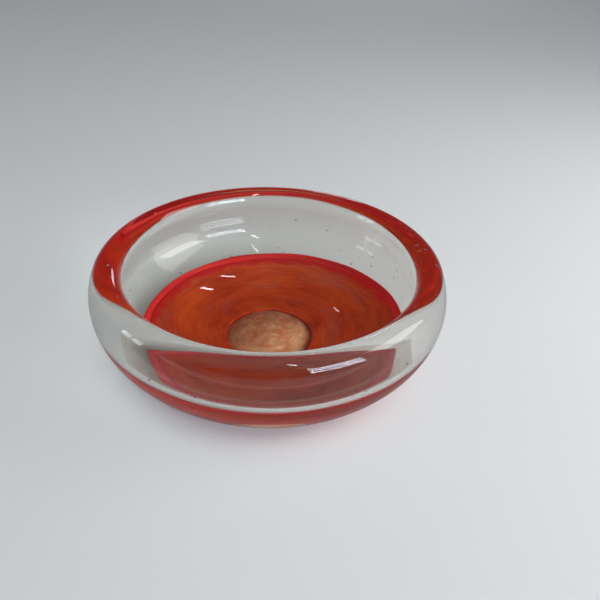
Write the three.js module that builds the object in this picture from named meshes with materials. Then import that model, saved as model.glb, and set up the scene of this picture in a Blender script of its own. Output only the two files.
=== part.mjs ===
// Hand-blown art glass bowl: a thick clear gather over a streaky orange colour bed, cased
// underneath in red, with a ground pontil disc in the middle of the foot.
// Millimetres, +Z up. The origin is the middle of the foot, on the surface the bowl stands on.
import * as THREE from "three";

// Overall form
const bowlDiameter = 170; // across the belly
const bowlHeight = 53.5;
const bellyDrop = 15.5; // how far the widest circle lies below the crest of the lip
const footDiameter = 68; // flat of the underside
const rimInset = 8.75; // how far the crest of the lip lies inside the widest circle
const lipThickness = 13.5; // the lip is a full round of this size

// Hollow
const bellyWall = 12; // glass thickness at the widest circle
const hollowBellyDrop = 22; // how far the widest circle of the hollow lies below the crest
const floorHeight = 12; // top of the floor above the foot
const floorFlatDiameter = 30; // level middle of the floor

// Colour layers, laid on the underside one over the other
const casingThickness = 1.4; // red, outermost
const casingEdgeAngle = 44; // degrees round the lower curve from the foot, where the red ends
const bedThickness = 1.2; // orange, over the red
const bedEdgeAngle = 39; // degrees round the lower curve, where the orange ends
const layerEdgeTaper = 12; // degrees over which a layer thins to its edge
const layerEdgeShare = 0.35; // share of a layer's thickness that is left at its edge

// Pontil disc
const pontilDiameter = 45;
const pontilDishDepth = 0.8; // how far the ground face is dished in the middle

// Gap between one glass body and the next
const fusionGap = 0.3;

// Facets
const turnSteps = 48;
const curveSteps = 10;
const layerSteps = 8;

const bowlRadius = bowlDiameter / 2;
const footRadius = footDiameter / 2;
const rimRadius = bowlRadius - rimInset;
const pontilRadius = pontilDiameter / 2;
const lipRadius = lipThickness / 2;
const bellyHeight = bowlHeight - bellyDrop;
const hollowBellyHeight = bowlHeight - hollowBellyDrop;
const lipCentre = new THREE.Vector2(rimRadius, bowlHeight - lipRadius);

const radians = THREE.MathUtils.degToRad;
const onCircle = (centre, radius, angle) =>
  new THREE.Vector2(centre.x + radius * Math.cos(angle), centre.y + radius * Math.sin(angle));

// Points of a run of equal steps, both ends included.
const run = (steps, pointAt) => Array.from({ length: steps + 1 }, (_, i) => pointAt(i / steps));

// The underside: a flat foot, then a quarter ellipse up to the belly. A place on it is a negative
// number on the flat, where 0 is the edge of the foot, and an angle in degrees on the curve.
const onAxis = -90;
const atBelly = 90;
const lowerCentre = new THREE.Vector2(footRadius, bellyHeight);
const lowerHalfWidth = bowlRadius - footRadius;

function underside(degrees, depth) {
  if (degrees <= 0) return new THREE.Vector2(footRadius * (1 - degrees / onAxis), depth);
  const angle = radians(degrees);
  const inward = new THREE.Vector2(-bellyHeight * Math.sin(angle), lowerHalfWidth * Math.cos(angle));
  return new THREE.Vector2(
    lowerCentre.x + lowerHalfWidth * Math.sin(angle),
    lowerCentre.y - bellyHeight * Math.cos(angle),
  ).addScaledVector(inward.normalize(), depth);
}

// The place on the flat of the foot that lies this far from the axis.
const placeOnFoot = (radius) => -onAxis * (radius / footRadius - 1);

// A layer's thickness at a place: full, thinning to its edge.
function layerThickness(full, edge, degrees) {
  const left = THREE.MathUtils.clamp((edge - degrees) / layerEdgeTaper, 0, 1);
  return full * THREE.MathUtils.lerp(layerEdgeShare, 1, Math.sqrt(left));
}
const casingDepth = (degrees) => layerThickness(casingThickness, casingEdgeAngle, degrees);
const bedDepth = (degrees) =>
  casingDepth(degrees) + fusionGap + layerThickness(bedThickness, bedEdgeAngle, degrees);

// Spins an outline of (radius, height) points about the Z axis.
function turned(outline) {
  return new THREE.LatheGeometry(outline, turnSteps).rotateX(Math.PI / 2);
}

// Where an arc through the belly meets the lip's round smoothly.
function arcToLip(bellyRadius, height, side) {
  const inset = bellyRadius - rimRadius;
  const rise = lipCentre.y - height;
  const radius = (inset ** 2 + rise ** 2 - lipRadius ** 2) / (2 * (inset - side * lipRadius));
  const centre = new THREE.Vector2(bellyRadius - radius, height);
  const meeting = Math.atan2(lipCentre.y - centre.y, lipCentre.x - centre.x);
  return { centre, radius, meeting };
}

// Places of the layers' stations along the underside, from one to another.
const stations = (from, to) => run(layerSteps, (share) => THREE.MathUtils.lerp(from, to, share));

// The clear gather: up the outer wall, over the lip, down the hollow and back under the floor,
// where it follows the colour layers at the fusion gap.
function clearGather() {
  const edgeGapDegrees = THREE.MathUtils.radToDeg(fusionGap / bellyHeight);
  const clearStart = casingEdgeAngle + edgeGapDegrees;
  const outerWall = run(curveSteps, (share) =>
    underside(THREE.MathUtils.lerp(clearStart, atBelly, share), 0));
  const outer = arcToLip(bowlRadius, bellyHeight, 1);
  const shoulder = run(curveSteps, (share) =>
    onCircle(outer.centre, outer.radius, outer.meeting * share));
  const inner = arcToLip(bowlRadius - bellyWall, hollowBellyHeight, -1);
  const lip = run(curveSteps, (share) =>
    onCircle(lipCentre, lipRadius, THREE.MathUtils.lerp(outer.meeting, Math.PI + inner.meeting, share)));
  const throat = run(curveSteps, (share) =>
    onCircle(inner.centre, inner.radius, inner.meeting * (1 - share)));
  const floorFlatRadius = floorFlatDiameter / 2;
  const hollow = run(curveSteps, (share) => {
    const angle = share * Math.PI / 2;
    return new THREE.Vector2(
      floorFlatRadius + (bowlRadius - bellyWall - floorFlatRadius) * Math.cos(angle),
      hollowBellyHeight - (hollowBellyHeight - floorHeight) * Math.sin(angle),
    );
  });
  const overPontil = underside(onAxis, bedDepth(0) + fusionGap);
  const overBed = stations(0, bedEdgeAngle).map((place) => underside(place, bedDepth(place) + fusionGap));
  const overCasing = stations(bedEdgeAngle + 2 * edgeGapDegrees, casingEdgeAngle + edgeGapDegrees / 2)
    .map((place) => underside(place, casingDepth(place) + fusionGap));
  return turned([
    overPontil,
    ...overBed,
    ...overCasing,
    ...outerWall,
    ...shoulder.slice(1),
    ...lip.slice(1),
    ...throat.slice(1),
    ...hollow.slice(1),
    new THREE.Vector2(0, floorHeight),
  ]);
}

// A ring of colour on the underside, between two depth rules, from the pontil out to its edge.
function colourLayer(edge, lowerDepth, upperDepth) {
  const holeRadius = pontilRadius + fusionGap;
  const places = [placeOnFoot(holeRadius), ...stations(0, edge)];
  const lower = places.map((place) => underside(place, lowerDepth(place)));
  const upper = places.map((place) => underside(place, upperDepth(place))).reverse();
  return turned([...lower, ...upper, lower[0].clone()]);
}

// The pontil disc: flat on top against the gather, dished by the grinding wheel underneath.
function pontilDisc() {
  const dish = run(layerSteps, (share) =>
    new THREE.Vector2(pontilRadius * share, pontilDishDepth * (1 - share ** 2)));
  const top = bedDepth(0);
  return turned([...dish, new THREE.Vector2(pontilRadius, top), new THREE.Vector2(0, top)]);
}

function piece(name, geometry, finish) {
  const mesh = new THREE.Mesh(geometry, new THREE.MeshStandardMaterial(finish));
  mesh.name = name;
  return mesh;
}

const clearCrystal = { color: "#c9ccc8", roughness: 0.04, metalness: 0, transparent: true, opacity: 0.35 };
const orangeGlass = { color: "#b4421c", roughness: 0.2, metalness: 0 };
const redGlass = { color: "#a81c14", roughness: 0.12, metalness: 0 };
const groundGlass = { color: "#a87a52", roughness: 0.25, metalness: 0 };

const underBed = (place) => casingDepth(place) + fusionGap;
const onSurface = () => 0;

const bowl = new THREE.Group();
bowl.name = "art_glass_bowl";
bowl.add(
  piece("clear_gather", clearGather(), clearCrystal),
  piece("orange_colour_bed", colourLayer(bedEdgeAngle, underBed, bedDepth), orangeGlass),
  piece("red_casing", colourLayer(casingEdgeAngle, onSurface, casingDepth), redGlass),
  piece("pontil_disc", pontilDisc(), groundGlass),
);

export default bowl;
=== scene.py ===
import math
import random

import bmesh
import bpy
from mathutils import Matrix, Vector, noise


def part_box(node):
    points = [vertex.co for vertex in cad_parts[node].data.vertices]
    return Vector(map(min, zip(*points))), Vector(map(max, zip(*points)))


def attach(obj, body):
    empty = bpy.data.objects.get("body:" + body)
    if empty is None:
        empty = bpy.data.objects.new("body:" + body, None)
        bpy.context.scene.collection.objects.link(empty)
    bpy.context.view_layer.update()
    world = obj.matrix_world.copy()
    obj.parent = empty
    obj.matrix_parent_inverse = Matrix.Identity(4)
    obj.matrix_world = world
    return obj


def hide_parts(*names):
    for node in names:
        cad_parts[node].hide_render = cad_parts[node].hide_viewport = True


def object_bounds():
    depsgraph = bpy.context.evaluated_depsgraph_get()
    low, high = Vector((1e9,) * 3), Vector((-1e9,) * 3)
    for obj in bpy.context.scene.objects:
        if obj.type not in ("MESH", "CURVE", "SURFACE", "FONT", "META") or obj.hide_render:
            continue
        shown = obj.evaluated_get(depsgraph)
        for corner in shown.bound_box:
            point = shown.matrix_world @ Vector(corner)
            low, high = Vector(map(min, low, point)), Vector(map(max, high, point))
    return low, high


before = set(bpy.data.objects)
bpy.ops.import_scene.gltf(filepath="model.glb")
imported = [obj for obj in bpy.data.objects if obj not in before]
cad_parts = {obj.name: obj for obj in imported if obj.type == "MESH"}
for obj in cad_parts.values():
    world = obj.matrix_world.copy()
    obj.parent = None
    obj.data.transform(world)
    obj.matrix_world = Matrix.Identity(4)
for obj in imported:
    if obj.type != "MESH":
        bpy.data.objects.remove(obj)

# A hand-blown bowl: thick clear crystal over a streaky orange colour bed, cased underneath in red,
# with the pontil mark ground away in the middle of the foot.
cadLow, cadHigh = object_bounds()
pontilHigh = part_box("pontil_disc")[1]
mm = 0.001
scene = bpy.context.scene
print("frame loaded, bowl", round(cadHigh.x * 2000), "mm across")

form = {
    "radius": cadHigh.x,
    "height": cadHigh.z,
    "bellyDrop": 15.5 * mm,  # widest circle below the crest
    "footRadius": 34 * mm,
    "rimInset": 8.75 * mm,  # crest of the lip inside the widest circle
    "lipRadius": 6.75 * mm,
    "wall": 12 * mm,
    "hollowDrop": 22 * mm,  # widest circle of the hollow below the crest
    "floorHeight": 12 * mm,
    "floorFlat": 15 * mm,  # radius of the level middle of the floor
    "pontilRadius": pontilHigh.x,
    "pontilDish": 0.8 * mm,
    "turnSteps": 240,
    "curveSteps": 30,
    "flatSteps": 8,  # across a flat or dished part
    "mergeDistance": 0.004 * mm,
}
bellyHeight = form["height"] - form["bellyDrop"]
lipCentre = Vector((form["radius"] - form["rimInset"], form["height"] - form["lipRadius"]))


def underside(place, depth=0.0):
    # radius and height of a place: -90 to 0 across the flat of the foot, 0 to 90 up to the belly
    if place <= 0:
        return Vector((form["footRadius"] * (1 + place / 90), depth))
    turn = math.radians(place)
    halfWidth = form["radius"] - form["footRadius"]
    inward = Vector((-bellyHeight * math.sin(turn), halfWidth * math.cos(turn))).normalized()
    onCurve = Vector((form["footRadius"] + halfWidth * math.sin(turn), bellyHeight * (1 - math.cos(turn))))
    return onCurve + inward * depth


def shares(steps):
    return [step / steps for step in range(steps + 1)]


def arc(centre, radius, start, end, steps):
    turns = [start + (end - start) * share for share in shares(steps)]
    return [centre + radius * Vector((math.cos(turn), math.sin(turn))) for turn in turns]


def arcToLip(bellyRadius, height, side):
    # the arc through a widest circle that meets the round of the lip smoothly
    inset = bellyRadius - lipCentre.x
    rise = lipCentre.y - height
    lip = form["lipRadius"]
    radius = (inset**2 + rise**2 - lip**2) / (2 * (inset - side * lip))
    centre = Vector((bellyRadius - radius, height))
    toLip = lipCentre - centre
    return centre, radius, math.atan2(toLip.y, toLip.x)


def handMade(point):
    # the small wander of a form turned and shaped by hand, one rule for every layer
    wander = {
        "oval": 0.0022, "ovalTurn": 0.7, "three": 0.0012, "threeTurn": 2.1,
        "lean": 0.009, "footShift": -4 * mm, "footFade": 4,
        "ripple": 0.16 * mm, "rippleScale": 34, "rippleUpright": 2.2}
    azimuth = math.atan2(point.y, point.x)
    lift = point.z / form["height"]
    swell = wander["oval"] * math.cos(2 * (azimuth - wander["ovalTurn"]))
    swell += wander["three"] * math.cos(3 * azimuth - wander["threeTurn"])
    moved = point.copy()
    moved.xy *= 1 + swell * lift
    moved.y += wander["footShift"] * (1 - lift) ** wander["footFade"]
    moved.z += wander["lean"] * point.x * lift
    squeezed = Vector((point.x, point.y, point.z * wander["rippleUpright"]))
    ripple = noise.noise(squeezed * wander["rippleScale"])
    moved.xy *= 1 + wander["ripple"] * ripple * lift / form["radius"]
    return moved


def outlineMesh(outline, closed):
    # stands an outline of (radius, height) points in the XZ plane of a new bmesh
    bm = bmesh.new()
    verts = [bm.verts.new((point.x, 0, point.y)) for point in outline]
    for first, second in zip(verts, verts[1:]):
        bm.edges.new((first, second))
    if closed:
        bm.edges.new((verts[-1], verts[0]))
    return bm


def spinRound(bm):
    bmesh.ops.spin(
        bm, geom=bm.verts[:] + bm.edges[:], cent=(0, 0, 0), axis=(0, 0, 1),
        angle=math.tau, steps=form["turnSteps"], use_merge=True,
    )
    bmesh.ops.remove_doubles(bm, verts=bm.verts, dist=form["mergeDistance"])
    bmesh.ops.recalc_face_normals(bm, faces=bm.faces)


def finishPiece(name, bm, material, cadNode):
    mesh = bpy.data.meshes.new(name)
    bm.to_mesh(mesh)
    bm.free()
    mesh.shade_smooth()
    mesh.materials.append(material)
    piece = bpy.data.objects.new(name, mesh)
    scene.collection.objects.link(piece)
    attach(piece, "root")
    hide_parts(cadNode)
    print("piece made:", name, len(mesh.polygons), "faces")
    return piece


def toLinear(code):
    # an sRGB hex colour as linear RGBA
    channels = [int(code[start:start + 2], 16) / 255 for start in (1, 3, 5)]
    linear = [c / 12.92 if c <= 0.04045 else ((c + 0.055) / 1.055) ** 2.4 for c in channels]
    return (*linear, 1.0)


def newMaterial(name):
    material = bpy.data.materials.new(name)
    material.use_nodes = True
    tree = material.node_tree
    return material, tree, tree.nodes["Principled BSDF"]


def addNode(tree, kind, inputs=None, **settings):
    # one node with its settings; an input is either a value or the socket it is linked from
    made = tree.nodes.new("ShaderNode" + kind)
    for setting, value in settings.items():
        setattr(made, setting, value)
    for socket, value in (inputs or {}).items():
        if isinstance(value, bpy.types.NodeSocket):
            tree.links.new(value, made.inputs[socket])
        else:
            made.inputs[socket].default_value = value
    return made


def addRamp(tree, factor, stops):
    ramp = addNode(tree, "ValToRGB", {"Fac": factor})
    elements = ramp.color_ramp.elements
    while len(elements) < len(stops):
        elements.new(0.5)
    for element, (position, colour) in zip(elements, stops):
        element.position = position
        element.color = toLinear(colour) if isinstance(colour, str) else (colour, colour, colour, 1)
    return ramp.outputs["Color"]


# Clear crystal: cast soda crystal, fire polished, so it is colourless with a wet sharp gloss. Fine
# scuffs on the crest of the lip and on the foot, where it is handled and stood, break the gloss.
def clearCrystalMaterial():
    finish = {
        "ior": 1.5, "tint": "#E2E1DB", "throughShadow": (0.8, 0.82, 0.81, 1),
        "scuffSpacing": 1.4 * mm, "scuffCover": (0.54, 0.72), "scuffRoughness": 0.26,
        "lipBand": 1.6 * mm, "footBand": (0.25 * mm, 0.02 * mm)}
    material, tree, shader = newMaterial("clear crystal, fire polished")
    shader.inputs["Base Color"].default_value = toLinear(finish["tint"])
    shader.inputs["IOR"].default_value = finish["ior"]
    shader.inputs["Transmission Weight"].default_value = 1
    place = addNode(tree, "TexCoord").outputs["Object"]
    height = addNode(tree, "SeparateXYZ", {0: place}).outputs["Z"]
    nearCrest = addNode(tree, "MapRange", {
        "Value": height, "From Min": form["height"] - finish["lipBand"], "From Max": form["height"]})
    nearFoot = addNode(tree, "MapRange", {
        "Value": height, "From Min": finish["footBand"][0], "From Max": finish["footBand"][1]})
    worn = addNode(tree, "Math", {0: nearCrest.outputs[0], 1: nearFoot.outputs[0]}, operation="MAXIMUM")
    specks = addNode(tree, "TexNoise", {"Vector": place, "Scale": 1 / finish["scuffSpacing"], "Detail": 5})
    fewest, most = finish["scuffCover"]
    sparse = addNode(tree, "MapRange", {"Value": specks.outputs["Fac"], "From Min": fewest, "From Max": most})
    scuffs = addNode(tree, "Math", {0: sparse.outputs[0], 1: worn.outputs[0]}, operation="MULTIPLY")
    roughness = addNode(tree, "Math", {
        0: scuffs.outputs[0], 1: finish["scuffRoughness"]}, operation="MULTIPLY")
    tree.links.new(roughness.outputs[0], shader.inputs["Roughness"])
    # a shadow ray passes straight through, so the colour under the glass is lit softly
    clear = addNode(tree, "BsdfTransparent", {"Color": finish["throughShadow"]})
    rays = addNode(tree, "LightPath")
    lit = addNode(tree, "MixShader", {
        0: rays.outputs["Is Shadow Ray"], 1: shader.outputs[0], 2: clear.outputs[0]})
    tree.links.new(lit.outputs[0], tree.nodes["Material Output"].inputs["Surface"])
    return material


def strokeCoordinates(tree, sweep, around, width, stray):
    # coordinates that run round the bowl, so a noise read from them is drawn out into the strokes
    # that turning leaves: around is how often it changes in a turn, width is across a stroke
    driftScale = 38
    place = addNode(tree, "TexCoord").outputs["Object"]
    drift = addNode(tree, "TexNoise", {"Vector": place, "Scale": driftScale, "Detail": 2})
    centred = addNode(tree, "VectorMath", {
        0: drift.outputs["Color"], 1: (0.5, 0.5, 0.5)}, operation="SUBTRACT")
    shift = addNode(tree, "VectorMath", {0: centred.outputs[0], "Scale": stray}, operation="SCALE")
    strayed = addNode(tree, "VectorMath", {0: place, 1: shift.outputs[0]}, operation="ADD")
    flat = addNode(tree, "VectorMath", {0: strayed.outputs[0], 1: (1, 1, 0)}, operation="MULTIPLY")
    reach = addNode(tree, "VectorMath", {0: flat.outputs[0]}, operation="LENGTH").outputs["Value"]
    turn = addNode(tree, "Math", {0: reach, 1: sweep}, operation="MULTIPLY").outputs[0]
    swept = addNode(tree, "VectorRotate", {
        "Vector": flat.outputs[0], "Angle": turn}, rotation_type="Z_AXIS")
    heading = addNode(tree, "VectorMath", {0: swept.outputs[0]}, operation="NORMALIZE")
    spread = addNode(tree, "VectorMath", {
        0: heading.outputs[0], "Scale": around / math.tau}, operation="SCALE")
    across = addNode(tree, "Math", {0: reach, 1: 1 / width}, operation="MULTIPLY").outputs[0]
    lifted = addNode(tree, "CombineXYZ", {"Z": across})
    joined = addNode(tree, "VectorMath", {0: spread.outputs[0], 1: lifted.outputs[0]}, operation="ADD")
    return joined.outputs[0]


def addStrokes(tree, base, coordinates, offset, stops, colour, strength):
    # mixes one colour over another where a noise on the stroke coordinates is high
    moved = addNode(tree, "VectorMath", {0: coordinates, 1: offset}, operation="ADD").outputs[0]
    pattern = addNode(tree, "TexNoise", {"Vector": moved, "Scale": 1, "Detail": 4, "Roughness": 0.6})
    cover = addNode(tree, "MapRange", {
        "Value": pattern.outputs["Fac"], "From Min": stops[0], "From Max": stops[1], "To Max": strength})
    mix = addNode(tree, "Mix", {0: cover.outputs[0], 6: base, 7: toLinear(colour)}, data_type="RGBA")
    return mix.outputs[2]


def reachMask(tree, start, end, raggedness, strength):
    # rises from start to end out from the middle of the colour, with a ragged edge
    middle = (3.1 * mm, -1.4 * mm, 0)  # the colour lies a little to one side
    tornSpacing = 7 * mm
    place = addNode(tree, "TexCoord").outputs["Object"]
    fromMiddle = addNode(tree, "VectorMath", {0: place, 1: middle}, operation="SUBTRACT")
    flat = addNode(tree, "VectorMath", {0: fromMiddle.outputs[0], 1: (1, 1, 0)}, operation="MULTIPLY")
    reach = addNode(tree, "VectorMath", {0: flat.outputs[0]}, operation="LENGTH").outputs["Value"]
    rough = addNode(tree, "TexNoise", {"Vector": place, "Scale": 1 / tornSpacing, "Detail": 3})
    ragged = addNode(tree, "MapRange", {
        "Value": rough.outputs["Fac"], "From Min": 0.25, "From Max": 0.75,
        "To Min": -raggedness, "To Max": raggedness})
    strayed = addNode(tree, "Math", {0: reach, 1: ragged.outputs[0]}, operation="ADD")
    return addNode(tree, "MapRange", {
        "Value": strayed.outputs[0], "From Min": start, "From Max": end, "To Max": strength},
        interpolation_type="SMOOTHSTEP").outputs[0]


# Orange colour bed: powdered opal glass picked up and dragged round while hot, so it is a soft body
# of brown orange with milky mauve clouds, and the red shows through where it thins.
def orangeBedMaterial():
    finish = {
        "roughness": 0.35, "ior": 1.5, "redder": "#FFC8B4",
        "body": [(0.32, "#983A1C"), (0.5, "#B85222"), (0.68, "#C66428")],
        "broad": {"sweep": 9, "around": 9, "width": 11 * mm, "stray": 14 * mm},
        "fine": {"sweep": 12, "around": 15, "width": 1.6 * mm, "stray": 9 * mm},
        "broadStrokes": [
            ((5, 2, 9), (0.52, 0.72), "#A8706C", 0.6),
            ((8, 5, 3), (0.52, 0.72), "#CC6A2C", 0.45)],
        "fineStrokes": [
            ((3, 7, 0), (0.45, 0.72), "#CC6428", 0.4),
            ((9, 1, 4), (0.45, 0.72), "#8E3216", 0.4)],
        "edge": {"start": 59.5 * mm, "end": 64.5 * mm, "raggedness": 2.2 * mm, "strength": 0.95},
        "edgeColour": "#BC2226"}
    material, tree, shader = newMaterial("orange opal colour bed, dragged")
    broad = strokeCoordinates(tree, **finish["broad"])
    fine = strokeCoordinates(tree, **finish["fine"])
    first = addNode(tree, "TexNoise", {"Vector": broad, "Scale": 1, "Detail": 3})
    colour = addRamp(tree, first.outputs["Fac"], finish["body"])
    for stroke in finish["broadStrokes"]:
        colour = addStrokes(tree, colour, broad, *stroke)
    for stroke in finish["fineStrokes"]:
        colour = addStrokes(tree, colour, fine, *stroke)
    thinEdge = addNode(tree, "Mix", {
        0: reachMask(tree, **finish["edge"]), 6: colour, 7: toLinear(finish["edgeColour"])}, data_type="RGBA")
    tree.links.new(thinEdge.outputs[2], shader.inputs["Base Color"])
    shader.inputs["Roughness"].default_value = finish["roughness"]
    shader.inputs["IOR"].default_value = finish["ior"]
    shader.inputs["Specular IOR Level"].default_value = 0
    shader.inputs["Coat Weight"].default_value = 1
    shader.inputs["Coat IOR"].default_value = 1
    shader.inputs["Coat Tint"].default_value = toLinear(finish["redder"])
    return material


# Red casing: a gathered skin of transparent selenium red, deep and even, with slightly denser rings.
def redCasingMaterial():
    finish = {
        "roughness": 0.2, "ior": 1.5, "body": [(0.32, "#B21C1A"), (0.5, "#D02824"), (0.7, "#E03A32")],
        "rings": {"sweep": 4, "around": 7, "width": 3 * mm, "stray": 4 * mm}}
    material, tree, shader = newMaterial("selenium red casing glass")
    rings = strokeCoordinates(tree, **finish["rings"])
    pattern = addNode(tree, "TexNoise", {"Vector": rings, "Scale": 1, "Detail": 4})
    colour = addRamp(tree, pattern.outputs["Fac"], finish["body"])
    tree.links.new(colour, shader.inputs["Base Color"])
    shader.inputs["Specular IOR Level"].default_value = 0  # it lies inside the crystal and has no gloss
    shader.inputs["Roughness"].default_value = finish["roughness"]
    shader.inputs["IOR"].default_value = finish["ior"]
    return material


# Ground pontil: the colour is ground away to the pale gather behind, mottled tan with orange left in
# the low places, and polished after.
def groundPontilMaterial():
    finish = {
        "roughness": 0.3, "mottleSpacing": 5 * mm,
        "body": [(0.3, "#B47C60"), (0.45, "#D0946C"), (0.58, "#E0A87C"), (0.72, "#ECC29C")],
        "strokes": {"sweep": 14, "around": 9, "width": 4 * mm, "stray": 8 * mm},
        "leftOrange": ((2, 2, 2), (0.44, 0.64), "#D06C38", 0.75)}
    material, tree, shader = newMaterial("pontil mark, ground and polished")
    place = addNode(tree, "TexCoord").outputs["Object"]
    mottle = addNode(tree, "TexNoise", {
        "Vector": place, "Scale": 1 / finish["mottleSpacing"], "Detail": 6, "Roughness": 0.65})
    colour = addRamp(tree, mottle.outputs["Fac"], finish["body"])
    strokes = strokeCoordinates(tree, **finish["strokes"])
    colour = addStrokes(tree, colour, strokes, *finish["leftOrange"])
    shader.inputs["Specular IOR Level"].default_value = 0
    tree.links.new(colour, shader.inputs["Base Color"])
    shader.inputs["Roughness"].default_value = finish["roughness"]
    return material


# The body of clear crystal, with the hollow, the lip and the dished pontil.
def makeClearGather():
    seeds = {
        "count": 90, "smallest": 0.16 * mm, "largest": 0.6 * mm, "seed": 7,
        "places": (36, 90), "depths": (1.5 * mm, 9.5 * mm)}
    flatSteps = form["flatSteps"]
    steps = form["curveSteps"]
    pontil, dish = form["pontilRadius"], form["pontilDish"]
    footStart = 90 * (pontil / form["footRadius"] - 1)
    outline = [Vector((pontil * share, dish * (1 - share**2))) for share in shares(flatSteps)]
    outline += [underside(footStart * (1 - share)) for share in shares(flatSteps // 2)]
    outline += [underside(90 * share) for share in shares(2 * steps)]
    centre, radius, outerMeeting = arcToLip(form["radius"], bellyHeight, 1)
    outline += arc(centre, radius, 0, outerMeeting, steps)
    hollowRadius = form["radius"] - form["wall"]
    hollowHeight = form["height"] - form["hollowDrop"]
    innerCentre, innerRadius, innerMeeting = arcToLip(hollowRadius, hollowHeight, -1)
    outline += arc(lipCentre, form["lipRadius"], outerMeeting, math.pi + innerMeeting, steps)
    outline += arc(innerCentre, innerRadius, innerMeeting, 0, steps)
    for share in shares(steps):
        turn = share * math.pi / 2
        reach = form["floorFlat"] + (hollowRadius - form["floorFlat"]) * math.cos(turn)
        outline.append(Vector((reach, hollowHeight - (hollowHeight - form["floorHeight"]) * math.sin(turn))))
    floorShares = shares(flatSteps // 2)[1:]
    outline += [Vector((form["floorFlat"] * (1 - share), form["floorHeight"])) for share in floorShares]
    bm = outlineMesh(outline, closed=False)
    bmesh.ops.remove_doubles(bm, verts=bm.verts, dist=form["mergeDistance"])
    spinRound(bm)
    # seed bubbles, each an inward-facing shell in the wall
    draw = random.Random(seeds["seed"])
    for bubble in range(seeds["count"]):
        spot = underside(draw.uniform(*seeds["places"]), draw.uniform(*seeds["depths"]))
        azimuth = draw.uniform(0, math.tau)
        size = draw.uniform(seeds["smallest"], seeds["largest"])
        at = Matrix.Translation((spot.x * math.cos(azimuth), spot.x * math.sin(azimuth), spot.y))
        made = bmesh.ops.create_icosphere(bm, subdivisions=2, radius=size, matrix=at)
        shell = {face for vert in made["verts"] for face in vert.link_faces}
        bmesh.ops.reverse_faces(bm, faces=list(shell))
    for vert in bm.verts:
        vert.co = handMade(vert.co)
    return finishPiece("clear_gather_glass", bm, clearCrystalMaterial(), "clear_gather")


layers = {
    "skin": 0.15 * mm,  # clear glass left under the red
    "casing": 1.4 * mm,
    "casingEdge": 44,  # place along the underside
    "bed": 1.2 * mm,
    "bedEdge": 39,
    "bond": 0.3 * mm,
    "taper": 12,  # places over which a layer thins to its edge
    "edgeShare": 0.12,
    "offCentre": (4.4, 1.0),  # how the colour lies to one side, in places, along X and Y
    "waver": 0.8,
    "waverScale": 2.5,
    "casingHoleGap": 0.1 * mm,  # round the pontil disc
    "bedHoleLap": 0.7 * mm,  # the bed reaches in over the pontil disc
    "bedSink": 0.1 * mm,  # the bed reaches down into the casing, so no gap shows
    "pontilThickness": 0.5 * mm,
    "lengthSteps": 40,
}


def layerThickness(full, edge, place):
    left = min(max((edge - place) / layers["taper"], 0), 1)
    return full * (layers["edgeShare"] + (1 - layers["edgeShare"]) * math.sqrt(left))


def casingTop(place):
    return layers["skin"] + layerThickness(layers["casing"], layers["casingEdge"], place)


def bedTop(place):
    return casingTop(place) + layerThickness(layers["bed"] + layers["bond"], layers["bedEdge"], place)


def makeColourLayer(name, edge, hole, lowerDepth, upperDepth, material, cadNode):
    start = 90 * (hole / form["footRadius"] - 1)
    stations = [start * (1 - share) for share in shares(form["flatSteps"])]
    stations += [edge * share for share in shares(layers["lengthSteps"])[1:]]
    ring = [(place, lowerDepth(place)) for place in stations]
    ring += [(place, upperDepth(place)) for place in reversed(stations)]
    bm = outlineMesh([underside(*pair) for pair in ring], closed=True)
    marks = bm.verts.layers.float_vector.new("place")
    for vert, (place, depth) in zip(bm.verts, ring):
        vert[marks] = (place, depth, 0)
    spinRound(bm)
    # the colour lies a little to one side and its edge wavers, so each point slides along the underside
    for vert in bm.verts:
        azimuth = math.atan2(vert.co.y, vert.co.x)
        place, depth = vert[marks][:2]
        reach = (place - start) / (edge - start)
        slide = layers["offCentre"][0] * math.cos(azimuth) + layers["offCentre"][1] * math.sin(azimuth)
        wide = layers["waverScale"]
        spot = Vector((math.cos(azimuth) * wide, math.sin(azimuth) * wide, edge))
        slide += layers["waver"] * noise.noise(spot)
        slid = underside(place + slide * reach**2, depth)
        vert.co = handMade(Vector((slid.x * math.cos(azimuth), slid.x * math.sin(azimuth), slid.y)))
    return finishPiece(name, bm, material, cadNode)


def makePontilDisc():
    low = layers["skin"] + form["pontilDish"]
    top = low + layers["pontilThickness"]
    radius = form["pontilRadius"]
    dish = form["pontilDish"]
    outline = [Vector((radius * share, low - dish * share**2)) for share in shares(form["flatSteps"])]
    outline += [Vector((radius, top)), Vector((0, top))]
    bm = outlineMesh(outline, closed=False)
    spinRound(bm)
    for vert in bm.verts:
        vert.co = handMade(vert.co)
    return finishPiece("ground_pontil", bm, groundPontilMaterial(), "pontil_disc")


makeClearGather()
makeColourLayer(
    "red_casing_glass", layers["casingEdge"], form["pontilRadius"] + layers["casingHoleGap"],
    lambda place: layers["skin"], casingTop, redCasingMaterial(), "red_casing")
makeColourLayer(
    "orange_bed_glass", layers["bedEdge"], form["pontilRadius"] - layers["bedHoleLap"],
    lambda place: casingTop(place) - layers["bedSink"], bedTop,
    orangeBedMaterial(), "orange_colour_bed")
makePontilDisc()


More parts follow.
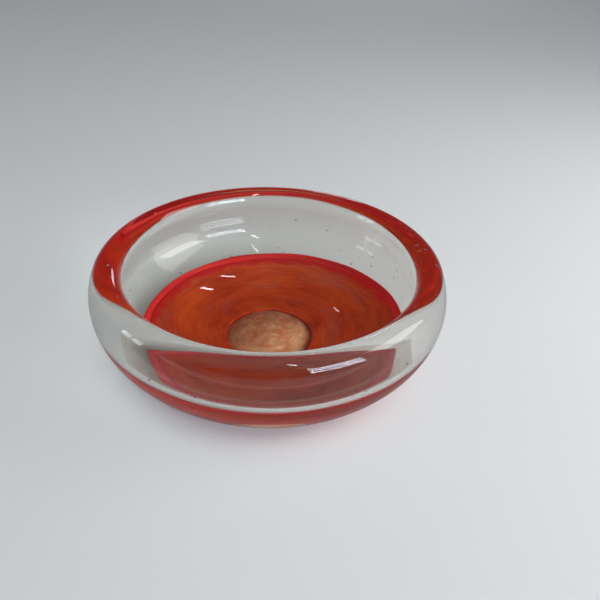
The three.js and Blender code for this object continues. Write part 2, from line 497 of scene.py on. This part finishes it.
def makeStage():
    # a plain pale floor, larger than any view of it
    # the second board colour is a painted shade: a darker board shown only in reflections
    board = {"halfSide": 40, "seen": "#F0F0EE", "mirroredShade": "#A4A4A6", "roughness": 0.9, "specular": 0.1}
    bm = bmesh.new()
    bmesh.ops.create_grid(bm, x_segments=1, y_segments=1, size=board["halfSide"])
    mesh = bpy.data.meshes.new("floor")
    bm.to_mesh(mesh)
    bm.free()
    material, tree, shader = newMaterial("pale matt board")
    # painted shade, not as in nature: the board is set dimmer for mirrored rays, so the floor seen in
    # reflections stands darker, to keep haze off the front wall
    rays = addNode(tree, "LightPath").outputs
    mirroredShade = addNode(tree, "Math", {
        0: rays["Is Glossy Ray"], 1: rays["Is Reflection Ray"]}, operation="MULTIPLY")
    shade = addNode(tree, "Mix", {
        0: mirroredShade.outputs[0], 6: toLinear(board["seen"]), 7: toLinear(board["mirroredShade"])},
        data_type="RGBA")
    tree.links.new(shade.outputs[2], shader.inputs["Base Color"])
    shader.inputs["Roughness"].default_value = board["roughness"]
    shader.inputs["Specular IOR Level"].default_value = board["specular"]
    mesh.materials.append(material)
    floor = bpy.data.objects.new("floor", mesh)
    scene.collection.objects.link(floor)


def addLight(name, place, aim, size, power, colour, roll=0):
    light = bpy.data.lights.new(name, "AREA")
    light.shape = "RECTANGLE"
    light.size, light.size_y = size
    light.energy = power
    light.color = toLinear(colour)[:3]
    lamp = bpy.data.objects.new(name, light)
    lamp.location = place
    facing = (Vector(aim) - Vector(place)).to_track_quat("-Z", "Y").to_matrix()
    lamp.rotation_euler = (facing @ Matrix.Rotation(math.radians(roll), 3, "Z")).to_euler()
    scene.collection.objects.link(lamp)


def towards(azimuth, elevation, distance):
    # a place in a direction: azimuth from +Y round towards +X, both in degrees
    turn, rise = math.radians(azimuth), math.radians(elevation)
    level = math.cos(rise)
    return Vector((math.sin(turn) * level, math.cos(turn) * level, math.sin(rise))) * distance


def addWindow(name, azimuth, elevation, panes, spacing, size, power, colour, roll=0):
    # a window of separate panes, so that its reflection in the glass shows the glazing bars
    distance = 2
    middleOfBowl = (0, 0, 0.03)
    columns, rows = panes
    for column in range(columns):
        for row in range(rows):
            across = azimuth + spacing[0] * (column - (columns - 1) / 2)
            up = elevation + spacing[1] * (row - (rows - 1) / 2)
            place = towards(across, up, distance)
            addLight(name, place, middleOfBowl, size, power, colour, roll)


def makeLights():
    room = {
        "strength": 0.38, "brightest": (0.34, -0.34, 0.88),
        "shade": [(0.0, "#787C82"), (0.36, "#7C8086"), (0.75, "#DCE0E4"), (1.0, "#FFFFFF")]}
    world = bpy.data.worlds.new("studio")
    world.use_nodes = True
    tree = world.node_tree
    sky = tree.nodes["Background"]
    # the room is brightest overhead and a little to the front right, and dim low down
    direction = addNode(tree, "TexCoord").outputs["Generated"]
    facing = addNode(tree, "VectorMath", {0: direction, 1: room["brightest"]}, operation="DOT_PRODUCT")
    shade = addRamp(tree, facing.outputs["Value"], room["shade"])
    tree.links.new(shade, sky.inputs["Color"])
    sky.inputs["Strength"].default_value = room["strength"]
    scene.world = world
    addWindow("front right window", 141, 20.5, (4, 3), (8, 9), (0.25, 0.117), 2.5, "#E8F0FF")
    addWindow("back window", 8, 17, (3, 2), (2.6, 4), (0.075, 0.117), 0.19, "#EAF2FF")
    addWindow("back lamp", 6, 50, (1, 2), (0, 5.5), (0.083, 0.016), 0.08, "#FFEAE4", -30)
    addWindow("left window", -98, 8, (2, 2), (9, 9), (0.25, 0.267), 1.4, "#EEF4FF")
    addLight("side panel", (0.6, -0.05, 0.42), (0, 0, 0.02), (0.42, 0.34), 1.9, "#FFFDFA")
    addLight("ceiling lamp", towards(158, 66, 1.3), (0, 0, 0), (0.025, 0.34), 0.7, "#FBFFF2")
    addLight("far lamp", towards(-2, 41, 1.2), (0, 0, 0.03), (0.006, 0.02), 0.003, "#FFEAE4", 15)


def makeCamera():
    view = {
        "elevation": 38.3, "distance": 317 * mm, "aim": (17.5 * mm, 39.9 * mm, 0), "roll": 3.35,
        "lens": 36, "sensor": 36, "nearest": 0.01}
    camera = bpy.data.objects.new("camera", bpy.data.cameras.new("camera"))
    camera.data.lens = view["lens"]
    camera.data.sensor_width = view["sensor"]
    camera.data.clip_start = view["nearest"]
    up = math.radians(view["elevation"])
    place = Vector((0, -math.cos(up), math.sin(up))) * view["distance"]
    aimed = (Vector(view["aim"]) - place).to_track_quat("-Z", "Y").to_matrix()
    rolled = aimed @ Matrix.Rotation(math.radians(view["roll"]), 3, "Z")
    camera.matrix_world = Matrix.Translation(place) @ rolled.to_4x4()
    scene.collection.objects.link(camera)
    scene.camera = camera


makeStage()
makeLights()
makeCamera()
scene.view_settings.view_transform = "Standard"
bounces = 24  # enough for light that runs round inside the thick wall
scene.cycles.max_bounces = bounces
scene.cycles.transmission_bounces = bounces
scene.cycles.transparent_max_bounces = bounces
print("stage, lights and camera ready")
